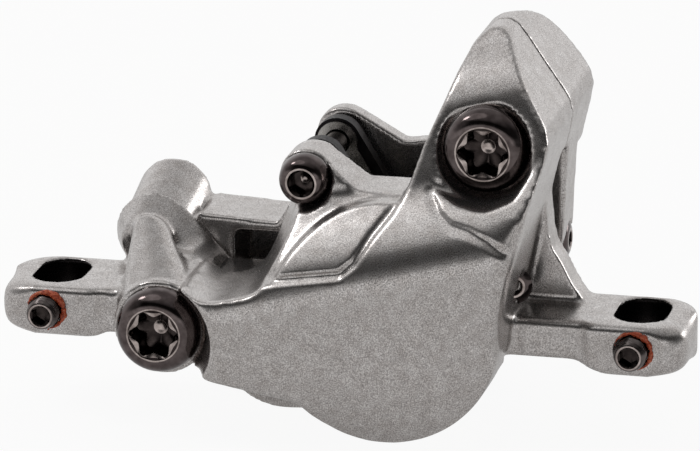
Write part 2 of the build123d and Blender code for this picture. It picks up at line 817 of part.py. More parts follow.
# Spring between the pads: two leaf plates beside the friction blocks, joined over the rotor's edge
with BuildPart() as pad_spring:
    leaf = friction_gap + friction_thickness - spring_gap
    spring_top = backing_top - spring_drop
    spring_width = backing_width - 2 * spring_inset
    for side in (1, -1):
        with BuildSketch(pad_plane(split + side * leaf)):
            with Locations((0, (spring_top - spring_leg_bottom) / 2)):
                Rectangle(spring_width, spring_top + spring_leg_bottom)
                Rectangle(
                    friction_width + spring_slack, spring_top + spring_leg_bottom, mode=Mode.SUBTRACT
                )
            with Locations((0, spring_top - spring_strip / 2)):
                Rectangle(spring_width, spring_strip)
            with Locations((-pin_reach, (pin_height + backing_top - spring_strip) / 2)):
                Rectangle(spring_neck, pin_height - backing_top + spring_strip)
            with Locations((-pin_reach, pin_height)):
                Circle(backing_ear_radius)
                Circle(pin_radius + pad_pin_clearance, mode=Mode.SUBTRACT)
        extrude(amount=-side * spring_thickness)
    with BuildSketch(pad_plane(split)):
        with Locations((-pin_reach, spring_bridge_height)):
            Rectangle(spring_neck, spring_thickness)
    extrude(amount=leaf, both=True)
export("pad_spring", pad_spring.part)
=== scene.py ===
# %% [markdown]
# A post-mount disc brake caliper for a bicycle. The imported solids are the fixed frame: every piece here
# stands where its solid stands. The frame comes first, because all places are read from it, and the
# whole size is kept.

# %% Load the frame
import json
import math

import bmesh
import bpy
import numpy as np
from mathutils import Matrix, Vector

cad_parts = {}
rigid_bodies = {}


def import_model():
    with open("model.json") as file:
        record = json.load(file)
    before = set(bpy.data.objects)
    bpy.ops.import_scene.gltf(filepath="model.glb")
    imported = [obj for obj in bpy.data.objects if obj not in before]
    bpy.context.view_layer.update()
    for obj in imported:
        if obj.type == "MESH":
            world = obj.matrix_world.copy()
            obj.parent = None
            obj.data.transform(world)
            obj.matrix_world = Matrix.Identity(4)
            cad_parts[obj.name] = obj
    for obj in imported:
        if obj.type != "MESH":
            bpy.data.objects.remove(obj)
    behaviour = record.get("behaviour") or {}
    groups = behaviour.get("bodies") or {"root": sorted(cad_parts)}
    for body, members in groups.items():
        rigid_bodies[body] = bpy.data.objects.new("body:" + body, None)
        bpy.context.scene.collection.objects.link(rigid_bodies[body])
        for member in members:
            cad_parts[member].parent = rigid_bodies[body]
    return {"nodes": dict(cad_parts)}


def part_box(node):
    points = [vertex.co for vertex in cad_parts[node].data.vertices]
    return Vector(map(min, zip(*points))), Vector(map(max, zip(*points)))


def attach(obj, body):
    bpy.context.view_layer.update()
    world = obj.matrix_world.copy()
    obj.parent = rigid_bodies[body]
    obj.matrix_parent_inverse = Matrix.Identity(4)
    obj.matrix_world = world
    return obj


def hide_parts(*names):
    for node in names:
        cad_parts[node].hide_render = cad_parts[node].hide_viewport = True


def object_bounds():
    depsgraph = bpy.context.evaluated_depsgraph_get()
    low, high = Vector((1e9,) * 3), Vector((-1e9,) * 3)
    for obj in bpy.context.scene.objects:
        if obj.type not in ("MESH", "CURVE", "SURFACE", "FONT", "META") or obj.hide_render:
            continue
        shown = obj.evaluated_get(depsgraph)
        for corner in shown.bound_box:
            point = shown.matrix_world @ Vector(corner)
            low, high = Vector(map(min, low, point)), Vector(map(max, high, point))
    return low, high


for default in list(bpy.data.objects):
    bpy.data.objects.remove(default)
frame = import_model()
NODES = frame["nodes"]
cad_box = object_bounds()
MM = 0.001
print("nodes", len(NODES), "box", [round(v / MM, 1) for corner in cad_box for v in corner])

# %% [markdown]
# Colours are written as sRGB hex values, the way a paint chart gives them, and turned to linear once.


# %% Colour helpers
def linear(hex_colour):
    """sRGB hex text to a linear RGBA colour."""
    parts = [int(hex_colour[i : i + 2], 16) / 255 for i in (1, 3, 5)]
    return [p / 12.92 if p <= 0.04045 else ((p + 0.055) / 1.055) ** 2.4 for p in parts] + [1.0]


def grey(value):
    """Grey as a colour for a ramp that drives a number."""
    return (value, value, value, 1.0)


WHITE = linear("#ffffff")
print("middle grey is", round(linear("#808080")[0], 3), "in linear light")

# %% [markdown]
# One helper adds any node with its settings and links, so that each finish below reads as a recipe. Every
# material starts as an empty one with its shader, and takes its patterns from the Object coordinates.


# %% Node helpers
def feed(tree, made, inputs):
    """Sets a node's inputs to values, or links them from sockets."""
    for key, value in inputs.items():
        if isinstance(value, bpy.types.NodeSocket):
            tree.links.new(value, made.inputs[key])
        else:
            made.inputs[key].default_value = value


def node(tree, kind, inputs=None, **settings):
    """Adds a node; inputs holds values, or sockets to link from."""
    made = tree.nodes.new(kind)
    for key, value in settings.items():
        setattr(made, key, value)
    feed(tree, made, inputs or {})
    return made


def ramp(tree, source, stops):
    """Colour ramp over stops of (place, colour)."""
    made = node(tree, "ShaderNodeValToRGB", {"Fac": source})
    made.color_ramp.elements[0].position, made.color_ramp.elements[0].color = stops[0]
    made.color_ramp.elements[1].position, made.color_ramp.elements[1].color = stops[-1]
    for place, colour in stops[1:-1]:
        made.color_ramp.elements.new(place).color = colour
    return made.outputs["Color"]


def finish_named(name):
    """Empty material with its shader; returns the material, its tree, the shader and Object coordinates."""
    made = bpy.data.materials.new(name)
    made.use_nodes = True
    tree = made.node_tree
    shader = tree.nodes["Principled BSDF"]
    place = node(tree, "ShaderNodeTexCoord").outputs["Object"]
    return made, tree, shader, place


print("made helpers feed, node, ramp and finish_named")

# %% [markdown]
# Short helpers add the nodes that come back often. Some nodes have several sockets of one name, so these are
# found by number: the numbers of the Mix node's colours are named here.

# %% Nodes that come back often
MIX_A, MIX_B, MIX_RESULT = 6, 7, 2


def calculated(tree, operation, *values):
    """Result of a Math node."""
    return node(tree, "ShaderNodeMath", dict(enumerate(values)), operation=operation).outputs[0]


def mapped(tree, value, low, high, to_low=0.0, to_high=1.0):
    """Value brought from low..high to to_low..to_high, and held at the ends."""
    return node(tree, "ShaderNodeMapRange", dict(enumerate((value, low, high, to_low, to_high)))).outputs[0]


def mixed(tree, factor, first, second, blend="MIX"):
    """Two colours mixed by a factor."""
    inputs = {"Factor": factor, MIX_A: first, MIX_B: second}
    return node(tree, "ShaderNodeMix", inputs, data_type="RGBA", blend_type=blend).outputs[MIX_RESULT]


def noise(tree, place, spacing, **inputs):
    """Noise with features about one spacing apart."""
    return node(tree, "ShaderNodeTexNoise", {"Vector": place, "Scale": 1 / spacing, **inputs}).outputs["Fac"]


def relief(tree, height, strength, distance):
    """Normal that follows a fine height."""
    inputs = {"Height": height, "Strength": strength, "Distance": distance}
    return node(tree, "ShaderNodeBump", inputs).outputs["Normal"]


print("a Mix node's colours are sockets", MIX_A, "and", MIX_B)

# %% [markdown]
# The two body halves are cast aluminium, blasted and then given a satin grey metallic coat. Up close the
# coat has a fine glitter, light flakes a seventh of a millimetre apart over a darker ground, and a low,
# wider mottle where the blasting bit deeper. The coat is a metal with a fairly smooth surface, so it turns
# bright towards the lamps and nearly black towards the dark side. The walls of the mounting slots are nearly
# black inside, and that shade is painted: they have a darker version of the same coat.

# %% Satin cast coat
FLAKE = 0.14 * MM
MOTTLE = 1.6 * MM
MOTTLE_SHARE = 0.6


def cast_coat(name, dark, middle_tone, light):
    """Metallic coat whose flakes run over three tones."""
    made, tree, shader, place = finish_named(name)
    flakes = noise(tree, place, FLAKE, Detail=1.0, Roughness=0.5)
    mottle = noise(tree, place, MOTTLE, Detail=3.0)
    ground = ramp(tree, flakes, [(0.28, linear(dark)), (0.50, linear(middle_tone)), (0.72, linear(light))])
    cloud = ramp(tree, mottle, [(0.30, linear("#d6d2cf")), (0.70, WHITE)])
    feed(tree, shader, {
        "Base Color": mixed(tree, MOTTLE_SHARE, ground, cloud, "MULTIPLY"),
        "Roughness": ramp(tree, flakes, [(0.25, grey(0.31)), (0.75, grey(0.21))]),
        "Normal": relief(tree, flakes, strength=0.16, distance=0.03 * MM),
        "Metallic": 0.95,
    })
    return made


CAST = cast_coat("satin_cast_aluminium_coat", "#938f8e", "#bab6b4", "#e2dedc")
# The slot coat's dark tones are painted shade, standing in for the dark inside the slots.
SLOT_COAT_PAINTED_SHADE = cast_coat("coat_with_painted_shade_in_slots", "#1c1a1a", "#262323", "#3a3635")
print("made", CAST.name, "and", SLOT_COAT_PAINTED_SHADE.name)

# %% [markdown]
# The body bolts, the pad pin and the small plugs are steel with a black oxide finish: a thin dark skin over
# a turned surface, glossy enough for hard highlights. Its fine marks are too small to see singly, so they
# are drawn as a soft change of roughness. Thin rings of bright steel on rims, base edges and socket floors
# are painted highlight. A wider noise, eight grains across, shifts the tone a little.

# %% Steel finishes
WIDE_GRAINS = 8


def steel(name, tones, roughness, grain, depth):
    """Steel that varies between two tones and two roughnesses; grain and depth of its marks in mm."""
    made, tree, shader, place = finish_named(name)
    spacing = grain * MM
    marks = noise(tree, place, spacing, Detail=4.0)
    wide = noise(tree, place, WIDE_GRAINS * spacing, Detail=2.0)
    feed(tree, shader, {
        "Base Color": ramp(tree, wide, [(0.35, linear(tones[0])), (0.70, linear(tones[1]))]),
        "Roughness": ramp(tree, marks, [(0.30, grey(roughness[0])), (0.75, grey(roughness[1]))]),
        "Normal": relief(tree, marks, strength=0.15, distance=depth * MM),
        "Metallic": 1.0,
    })
    return made


BLACK_OXIDE = steel("black_oxide_steel", ("#4c4443", "#665d5c"), (0.09, 0.15), grain=0.15, depth=0.01)
# The bright steel tones are painted highlight on rims and edges of the screws.
GLINT_PAINTED_STEEL = steel("steel_with_painted_glint", ("#8d827e", "#c9bdb8"), (0.16, 0.28), grain=0.15, depth=0.01)
# The socket finish is the oxide made darker and rougher, which is painted shade inside the sockets.
SOCKET_PAINTED_SHADE = steel("oxide_with_painted_shade_in_socket", ("#2a2524", "#453e3c"), (0.16, 0.28), grain=0.2, depth=0.02)
SCREW_STEEL = steel("dark_set_screw_steel", ("#4c4645", "#6e6765"), (0.16, 0.30), grain=0.2, depth=0.02)
SPRING_STEEL = steel("rolled_spring_steel", ("#9d9a96", "#c4c1bd"), (0.2, 0.34), grain=0.12, depth=0.01)
BACKING = steel("black_stamped_steel", ("#232122", "#343132"), (0.34, 0.55), grain=0.25, depth=0.03)
for made in (BLACK_OXIDE, GLINT_PAINTED_STEEL, SOCKET_PAINTED_SHADE, SCREW_STEEL, SPRING_STEEL, BACKING):
    print("made", made.name)

# %% [markdown]
# Two hidden finishes are smooth and dark. The pistons are moulded phenolic, a hard plastic with a faint
# swirl. The seals are nitrile rubber, matt black with a little dust.

# %% Phenolic and rubber
SWIRL = 2.5 * MM
DUST = 0.4 * MM


def phenolic(name):
    """Hard dark plastic with a swirl."""
    made, tree, shader, place = finish_named(name)
    swirl = noise(tree, place, SWIRL, Detail=3.0, Distortion=1.2)
    feed(tree, shader, {
        "Base Color": ramp(tree, swirl, [(0.3, linear("#17161a")), (0.7, linear("#26242a"))]),
        "Roughness": ramp(tree, swirl, [(0.3, grey(0.28)), (0.7, grey(0.42))]),
    })
    return made


def rubber(name):
    """Matt black rubber."""
    made, tree, shader, place = finish_named(name)
    dust = noise(tree, place, DUST, Detail=4.0)
    feed(tree, shader, {
        "Base Color": ramp(tree, dust, [(0.35, linear("#141414")), (0.75, linear("#2b2a2a"))]),
        "Normal": relief(tree, dust, strength=0.3, distance=0.03 * MM),
        "Roughness": 0.75,
    })
    return made


PHENOLIC = phenolic("moulded_phenolic")
RUBBER = rubber("nitrile_rubber")
print("made", PHENOLIC.name, "and", RUBBER.name)

# %% [markdown]
# Two more are crumbly. The friction blocks are pressed from fibre, resin and chips of copper and iron half a
# millimetre across, which show as bright dots in a brown-grey ground. The threadlocker on the set screws has
# dried to a dull orange-red crust.

# %% Friction material and threadlocker
CHIP = 0.5 * MM
FIBRE = 0.3 * MM
CRUMB = 0.35 * MM


def friction_block(name):
    """Pressed mix with bright chips in it."""
    made, tree, shader, place = finish_named(name)
    chips = node(tree, "ShaderNodeTexVoronoi", {"Vector": place, "Scale": 1 / CHIP}, feature="F1")
    fibre = noise(tree, place, FIBRE, Detail=5.0)
    metal = ramp(tree, chips.outputs["Distance"], [(0.16, grey(1.0)), (0.26, grey(0.0))])
    ground = ramp(tree, fibre, [(0.3, linear("#3a332d")), (0.7, linear("#5b5046"))])
    feed(tree, shader, {
        "Base Color": mixed(tree, metal, ground, linear("#b08a63")),
        "Metallic": metal,
        "Normal": relief(tree, fibre, strength=0.5, distance=0.08 * MM),
        "Roughness": 0.62,
    })
    return made


def threadlock(name):
    """Dried crust in three tones."""
    made, tree, shader, place = finish_named(name)
    crumbs = noise(tree, place, CRUMB, Detail=3.0)
    tones = [(0.3, linear("#7c2f1c")), (0.5, linear("#c4512d")), (0.72, linear("#e08a66"))]
    feed(tree, shader, {
        "Base Color": ramp(tree, crumbs, tones),
        "Normal": relief(tree, crumbs, strength=0.6, distance=0.08 * MM),
        "Roughness": 0.5,
    })
    return made


FRICTION = friction_block("pressed_friction_mix")
THREADLOCK = threadlock("dried_threadlocker")
print("made", FRICTION.name, "and", THREADLOCK.name)

# %% [markdown]
# Solids whose shape is already right keep their own mesh and only take their finish.

# %% Dress the plain nodes
DRESS = {
    "outboard_piston": PHENOLIC, "inboard_piston": PHENOLIC,
    "outboard_piston_seal": RUBBER, "inboard_piston_seal": RUBBER, "passage_seal": RUBBER,
    "outboard_pad_backing": BACKING, "inboard_pad_backing": BACKING,
    "outboard_pad_friction": FRICTION, "inboard_pad_friction": FRICTION,
    "pad_spring": SPRING_STEEL, "pin_clip": SPRING_STEEL,
}
for name, finish in DRESS.items():
    NODES[name].data.materials.clear()
    NODES[name].data.materials.append(finish)
print("dressed", len(DRESS), "nodes")

# %% [markdown]
# The other pieces get new meshes. They are worked on as lists of vertex places in millimetres, and their
# modifiers are applied as soon as they are set.


# %% Mesh helpers
def linked(name, data):
    """New object at the origin of the scene."""
    made = bpy.data.objects.new(name, data)
    bpy.context.scene.collection.objects.link(made)
    return made


def coordinates(piece):
    """Vertex places in millimetres."""
    points = np.empty(len(piece.data.vertices) * 3)
    piece.data.vertices.foreach_get("co", points)
    return points.reshape(-1, 3) / MM


def move_to(piece, points):
    """Puts the vertices at new places in millimetres."""
    piece.data.vertices.foreach_set("co", (points * MM).ravel())
    piece.data.update()


def bake(piece):
    """Applies all modifiers to the mesh."""
    graph = bpy.context.evaluated_depsgraph_get()
    fresh = bpy.data.meshes.new_from_object(piece.evaluated_get(graph))
    old = piece.data
    piece.modifiers.clear()
    piece.data = fresh
    bpy.data.meshes.remove(old)


def outward(data):
    """Turns all faces outward and shades them smooth."""
    solid = bmesh.new()
    solid.from_mesh(data)
    bmesh.ops.recalc_face_normals(solid, faces=solid.faces)
    solid.to_mesh(data)
    solid.free()
    data.shade_smooth()


print("made helpers linked, coordinates, move_to, bake and outward")

# %% [markdown]
# The places of the bolts, the pad pin and the set screws follow from the solids, read from their boxes.


# %% Places read from the frame
def middle(name):
    """Middle of a node's box in millimetres."""
    low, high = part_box(name)
    return (low + high) / 2 / MM


LEFT_BOLT, RIGHT_BOLT, PIN = middle("left_body_bolt"), middle("right_body_bolt"), middle("pad_pin")
LEFT_SET, RIGHT_SET = middle("left_set_screw"), middle("right_set_screw")
print("bolts", LEFT_BOLT[:], RIGHT_BOLT[:], "pin", PIN[:])

# %% [markdown]
# Two measures steer all the work on the castings: how far a point is from a chain of corners drawn on the
# front view, and how far it is from a machined place, which must stay crisp. A machined place is round along
# Y, a mounting slot along Z, or the flat joint between the halves.

# %% Distances
FAR = 1e9
SLOT_HALF_STRAIGHT = 1.4
FADE_POWER = 1.5


def segment_distance(points, corners):
    """Distance in X-Z from each point to a chain of corners."""
    best = np.full(len(points), FAR)
    place = points[:, [0, 2]]
    for start, end in zip(corners[:-1], corners[1:]):
        start, end = np.array(start), np.array(end)
        along = np.clip(((place - start) @ (end - start)) / ((end - start) @ (end - start)), 0, 1)
        best = np.minimum(best, np.linalg.norm(place - start - along[:, None] * (end - start), axis=1))
    return best


def softness(points, kind, place, radius, low, high, fade, least):
    """How far each point may relax near one machined place: from least, there, to 1 a fade away.

    A round place reaches from its middle in X-Z to the radius, and a slot from its middle in X-Y. Both end
    at low and high along their own axis. A joint is flat, and its place is one Y. All are in mm.
    """
    if kind == "round":
        away = np.hypot(points[:, 0] - place[0], points[:, 2] - place[1]) - radius
        along = points[:, 1]
    elif kind == "slot":
        reach = np.maximum(np.abs(points[:, 1] - place[1]) - SLOT_HALF_STRAIGHT, 0)
        away = np.hypot(points[:, 0] - place[0], reach) - radius
        along = points[:, 2]
    else:
        away = np.abs(points[:, 1] - place)
        along = points[:, 1]
    outside = np.maximum(np.maximum(low - along, along - high), 0)
    distance = np.hypot(np.maximum(away, 0), outside)
    return least + (1 - least) * np.clip(distance / fade, 0, 1) ** FADE_POWER


print("slots are straight for", 2 * SLOT_HALF_STRAIGHT, "mm")

# %% [markdown]
# A casting has no sharp edges: metal flows into soft corners and the blasting rounds them further. Beveling
# thousands of small facets would tear, so the solid is wrapped in an even skin of small squares.

# %% Skin over a solid
PITCH = 0.345 * MM
WELD = 0.001 * MM


def skin_over(source, name, filled):
    """Even skin over a solid and over boxes given by two corners in mm, which fill it up."""
    data = source.data.copy()
    piece = linked(name, data)
    merged = bmesh.new()
    merged.from_mesh(data)
    for low, high in filled:
        centre, size = (Vector(low) + Vector(high)) / 2 * MM, (Vector(high) - Vector(low)) * MM
        bmesh.ops.create_cube(merged, size=1.0, matrix=Matrix.LocRotScale(centre, None, size))
    bmesh.ops.remove_doubles(merged, verts=merged.verts, dist=WELD)
    bmesh.ops.recalc_face_normals(merged, faces=merged.faces)
    merged.to_mesh(data)
    merged.free()
    skin = piece.modifiers.new("skin", "REMESH")
    skin.mode, skin.voxel_size, skin.adaptivity = "VOXEL", PITCH, 0.0
    bake(piece)
    return piece


print("skin of", round(PITCH / MM, 3), "mm squares")

# %% [markdown]
# Then the skin is relaxed. The more it is relaxed, the rounder the edges. Machined places are given little
# or no relaxing, through a vertex group.

# %% Relaxed skin
RELAX_FACTOR = 0.5
WEIGHT_STEPS = 10


def relax(piece, weights, rounds):
    """Relaxes the skin, each vertex by its own weight."""
    group = piece.vertex_groups.new(name="soft")
    steps = np.round(weights * WEIGHT_STEPS)
    for step in range(1, WEIGHT_STEPS + 1):
        chosen = np.nonzero(steps == step)[0]
        if len(chosen):
            group.add(chosen.tolist(), step / WEIGHT_STEPS, "REPLACE")
    smooth = piece.modifiers.new("relax", "SMOOTH")
    smooth.factor, smooth.iterations, smooth.vertex_group = RELAX_FACTOR, rounds, "soft"
    bake(piece)
    piece.vertex_groups.clear()


def relaxed_copy(source, name, crisp, rounds, softer=(), filled=()):
    """Skin over a solid, relaxed except near the crisp places, and further along the softer chains."""
    piece = skin_over(source, name, filled)
    points = coordinates(piece)
    weights = np.ones(len(points))
    for machined in crisp:
        weights = np.minimum(weights, softness(points, *machined))
    relax(piece, weights, rounds)
    for chain, front, back, reach, fade, more_rounds in softer:
        points = coordinates(piece)
        deep = np.maximum(np.maximum(front - points[:, 1], points[:, 1] - back), 0)
        near = np.clip(1 - (np.hypot(segment_distance(points, chain), deep) - reach) / fade, 0, 1)
        relax(piece, near * weights, more_rounds)
    piece.data.shade_smooth()
    return piece


print("weights in", WEIGHT_STEPS, "steps")

# %% [markdown]
# These are the machined places of both halves: the bolt seats, the pin's bores, the slots, the set screws'
# bores, the joint, the cylinders, the room of the pads and the hose port.

# %% Places that stay crisp
SPLIT = 8.0
JOINT = ("joint", SPLIT, 0, 7.9, 8.1, 1.1, 0.06)
CYLINDER = (7.6, 6.4)
CYLINDER_REACH = 13.2
PAD_ROOM, PAD_REACH = (8.1, 8.2), 20.0
HOSE_PORT = (-26.9, 11.4)
# Kind, place, radius, low, high, fade, least softness.
CRISP_OUT = [
    ("round", (LEFT_BOLT.x, LEFT_BOLT.z), 6.1, -10.4, 0, 0.9, 0.05),
    ("round", (RIGHT_BOLT.x, RIGHT_BOLT.z), 6.1, -5, 0, 1.2, 0.1),
    ("round", (PIN.x, PIN.z), 2.6, -4.2, 2, 0.7, 0.1),
    JOINT,
    ("round", CYLINDER, CYLINDER_REACH, -12, 2, 0.5, 0.0),
    ("round", PAD_ROOM, PAD_REACH, 1.0, SPLIT, 0.4, 0.0),
]
for screw in (LEFT_SET, RIGHT_SET):
    CRISP_OUT.append(("slot", (screw.x, 0), 3.3, -1, 8, 0.7, 0.05))
    CRISP_OUT.append(("round", (screw.x, screw.z), 2.1, -8, 2, 0.6, 0.1))
CRISP_IN = [
    ("round", (PIN.x, PIN.z), 1.9, 8, 20, 0.7, 0.1),
    JOINT,
    ("round", HOSE_PORT, 3.6, 12, 18, 0.6, 0.05),
    ("round", CYLINDER, CYLINDER_REACH, 14, 25, 0.5, 0.0),
    ("round", PAD_ROOM, PAD_REACH, SPLIT, 15.0, 0.4, 0.0),
]
print("crisp places", len(CRISP_OUT), "outboard and", len(CRISP_IN), "inboard")

# %% [markdown]
# The photo shows some edges much rounder than the rest: the rim of the bulge, the rib beside the left bolt,
# the lip over the window, the ears' ends and the plate's right edge. Each is a chain of corners in X-Z, from
# a front to a back along Y. Within its reach it is relaxed in full, for so many rounds, and over its fade
# less and less. The foot of the window stands higher in the photo than in the solid, so a box fills it up.

# %% Edges that are rounder
BULGE_RADIUS = 14.5
BULGE = []
for angle in range(-118, 12, 5):
    turn = math.radians(angle)
    BULGE.append((CYLINDER[0] + BULGE_RADIUS * math.cos(turn), CYLINDER[1] + BULGE_RADIUS * math.sin(turn)))
RIM = [(-17.0, -1.4), (-5.6, -3.1), *BULGE, (21.0, 8.0), (23.6, 16.0), (25.2, 22.0)]
RIB = [(-25.5, 9.0), (-24.0, 12.5), (-19.5, 11.0)]
LIP = [(-15.0, 10.5), (-6.0, 11.0)]
LEFT_END, RIGHT_END = [[(x, 0.5), (x, 6.5)] for x in (-43.6, 43.6)]
PLATE_EDGE = [(22.6, 5.6), (23.4, 8.2), (23.6, 12.0), (23.2, 17.5)]
# Chain, front, back, reach, fade, rounds.
SOFTER = [
    (RIM, -17, -14.5, 1.2, 2.2, 70),
    (RIB, -8, 7, 2.5, 2.5, 60),
    (LIP, -13, 0, 1.0, 2.0, 25),
    (LEFT_END, -7.5, -3.5, 2.2, 2.6, 200),
    (RIGHT_END, -7.5, -3.5, 2.2, 2.6, 200),
    (PLATE_EDGE, -17, -14.0, 1.6, 2.4, 240),
]
WINDOW_FOOT = ((-17.7, 1.3, 3.0), (-9.5, 7.95, 7.0))
print("rounder edges", len(SOFTER))

# %% [markdown]
# Now both halves are wrapped and relaxed. This is the slowest step of the file.

# %% Both castings
outboard = relaxed_copy(NODES["outboard_body"], "outboard_casting", CRISP_OUT, 8, SOFTER, [WINDOW_FOOT])
inboard = relaxed_copy(NODES["inboard_body"], "inboard_casting", CRISP_IN, 9)
print("skins", len(outboard.data.polygons), "and", len(inboard.data.polygons), "squares")

# %% [markdown]
# The plate on the outboard half stands proud of the panel beside the pad pin. At the foot of that small step
# the mould left a fine gutter, which catches the dark, and there is a fainter one below the right bolt. Both
# are pressed in along a chain of corners. The same press rounds the bulge off towards its rim, as far as
# the plate's right edge.

# %% Gutters and the bulge's rim
FRONT = -16.1
FACING_POWER = 0.5


def gutter(share):
    """Smooth step from 0 to 1."""
    return share * share * (3 - 2 * share)


def press(piece, corners, half_width, depth, back, profile=gutter):
    """Presses the front in along a chain of corners; the profile gives the depth over 0 to 1."""
    points = coordinates(piece)
    share = np.clip(1 - segment_distance(points, corners) / half_width, 0, 1)
    facing = np.empty(len(points) * 3)
    piece.data.vertices.foreach_get("normal", facing)
    facing = np.clip(-facing.reshape(-1, 3)[:, 1], 0, 1) ** FACING_POWER
    inside = (points[:, 1] > FRONT) & (points[:, 1] < back)
    push = depth * profile(share) * facing * inside
    points[:, 1] += push
    move_to(piece, points)
    print("pressed", int((push > 0).sum()), "vertices, by", round(float(push.max()), 2), "mm at most")


STEP = [
    (-13.0, 11.2), (-8.0, 11.5), (2.5, 13.3), (4.1, 14.7),
    (5.8, 17.6), (7.8, 20.2), (9.2, 23.2), (10.3, 26.5),
]
BOLT_STEP = [(12.4, 22.6), (14.1, 20.6), (15.8, 19.7), (18.2, 19.4), (20.7, 18.6), (22.8, 17.4)]
LEFT_OF_EDGE = BULGE[:-3]
press(outboard, STEP, half_width=0.75, depth=0.7, back=-5.0)
press(outboard, BOLT_STEP, half_width=0.8, depth=0.4, back=-3.0)
press(outboard, LEFT_OF_EDGE, half_width=7.0, depth=1.5, back=-11.0, profile=lambda share: share ** 2)

# %% [markdown]
# The slots' walls are picked out by their place and by facing sideways, and take the darker coat, which is
# painted shade.

# %% Dress the castings
SLOT_WALL = (3.5, -1, 8, 1.0, 0.0)
SIDEWAYS = 0.6


def paint_shade_on_slot_walls(piece):
    """Gives the walls of both mounting slots the second material, a coat darkened as painted shade."""
    centres = np.array([polygon.center[:] for polygon in piece.data.polygons]) / MM
    facing = np.array([polygon.normal[:] for polygon in piece.data.polygons])
    marks = np.zeros(len(centres), dtype=int)
    for screw in (LEFT_SET, RIGHT_SET):
        near = softness(centres, "slot", (screw.x, 0), *SLOT_WALL) <= 0.0
        marks[near & (np.abs(facing[:, 2]) < SIDEWAYS)] = 1
    piece.data.polygons.foreach_set("material_index", marks)
    print(piece.name, "slot faces", int(marks.sum()))


for piece, node_name in ((outboard, "outboard_body"), (inboard, "inboard_body")):
    piece.data.materials.clear()
    piece.data.materials.append(CAST)
    if piece == outboard:
        piece.data.materials.append(SLOT_COAT_PAINTED_SHADE)
        paint_shade_on_slot_walls(piece)
    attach(piece, "caliper")
    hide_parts(node_name)
    print(piece.name, "faces", len(piece.data.polygons))

# %% [markdown]
# Screws are turned parts, so each is a stack of rings round its axis, listed from the tip up and then down
# into the socket. A ring has a radius, or an outline that gives the radius for an angle, a height above the
# seat in mm, and a finish: the plain skin, a ring of bright steel that is painted highlight, or the hollow
# of the socket, darkened as painted shade.

# %% Mesh from rings
AROUND = 72
SKIN, PAINTED_GLINT, HOLLOW = 0, 1, 2


def ring_points(rings, seat, turn):
    """Vertex places of all rings, then the middles of the first and the last, in metres."""
    swing = Matrix.Rotation(math.radians(turn), 3, "Z")
    offsets = []
    for radius, height, _ in rings:
        for i in range(AROUND):
            angle = 2 * math.pi * i / AROUND
            r = radius(angle) if callable(radius) else radius
            offsets.append((r * math.cos(angle), -height, r * math.sin(angle)))
    offsets += [(0, -rings[end][1], 0) for end in (0, -1)]
    return [(Vector(seat) + swing @ Vector(offset)) * MM for offset in offsets]


def ring_faces(rings):
    """Faces between neighbouring rings and over both ends, with the finish of each."""
    faces, marks = [], []
    for k in range(len(rings) - 1):
        for i in range(AROUND):
            a, b = k * AROUND + i, k * AROUND + (i + 1) % AROUND
            faces.append((a, b, b + AROUND, a + AROUND))
            marks.append(rings[k + 1][2])
    centre = len(rings) * AROUND
    for k in (0, len(rings) - 1):
        faces += [(k * AROUND + i, k * AROUND + (i + 1) % AROUND, centre) for i in range(AROUND)]
        marks += [rings[k][2]] * AROUND
        centre += 1
    return faces, marks


print("screws have", AROUND, "points to a ring")

# %% [markdown]
# Every screw replaces its solid, rides on the body that its solid belongs to, and keeps an edge sharp where
# two faces meet at more than 38 degrees.

# %% Turned screws
SHARP_FROM = math.radians(38)
BLACK_FINISHES = [BLACK_OXIDE, GLINT_PAINTED_STEEL, SOCKET_PAINTED_SHADE]


def turned_piece(name, seat, turn, rings, finishes, replaced, body="caliper"):
    """Closed piece from rings; the seat is in mm.

    The turn in degrees swings the head from facing the viewer round to the right.
    """
    faces, marks = ring_faces(rings)
    data = bpy.data.meshes.new(name)
    data.from_pydata(ring_points(rings, seat, turn), [], faces)
    for finish in finishes:
        data.materials.append(finish)
    data.polygons.foreach_set("material_index", marks)
    outward(data)
    data.set_sharp_from_angle(angle=SHARP_FROM)
    piece = linked(name, data)
    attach(piece, body)
    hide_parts(replaced)
    print(name, "faces", len(faces))


print("black screws take", [finish.name for finish in BLACK_FINISHES])

# %% [markdown]
# Four shapes come back on the screws: a socket with six lobes, one with six flats, a rounded head, and a
# thread. The thread is a true helix: the ring radius follows the angle as well as the height.

# %% Sockets, domes and threads
DOME_STEPS = 12
RINGS_PER_TURN = 8


def lobes(radius, depth_share):
    """Six lobes, with radius to their tips."""
    return lambda angle: radius * (1 - depth_share / 2 + depth_share / 2 * math.cos(6 * angle))


def flats(radius):
    """Six flats, with radius to the corners."""
    def outline(angle):
        turned = (angle + math.pi / 6) % (math.pi / 3) - math.pi / 6
        return radius * math.cos(math.pi / 6) / math.cos(turned)
    return outline


def dome(base, rim, low, high):
    """Rings of a rounded head from its base radius and height to its socket rim."""
    turns = [math.radians(90 / DOME_STEPS * i) for i in range(1, DOME_STEPS)]
    return [(rim + (base - rim) * math.cos(t), low + (high - low) * math.sin(t), SKIN) for t in turns]


def thread(radius, depth, pitch, low, high):
    """Rings of a helical thread between two heights, from the tip up; mm."""
    def ring(height):
        return lambda angle: radius - depth * abs(2 * ((height / pitch + angle / (2 * math.pi)) % 1) - 1)
    steps = int((high - low) / pitch * RINGS_PER_TURN)
    heights = [low + (high - low) * i / steps for i in range(steps + 1)]
    return [(ring(height), height, SKIN) for height in heights]


print("a thread has", RINGS_PER_TURN, "rings to a turn")
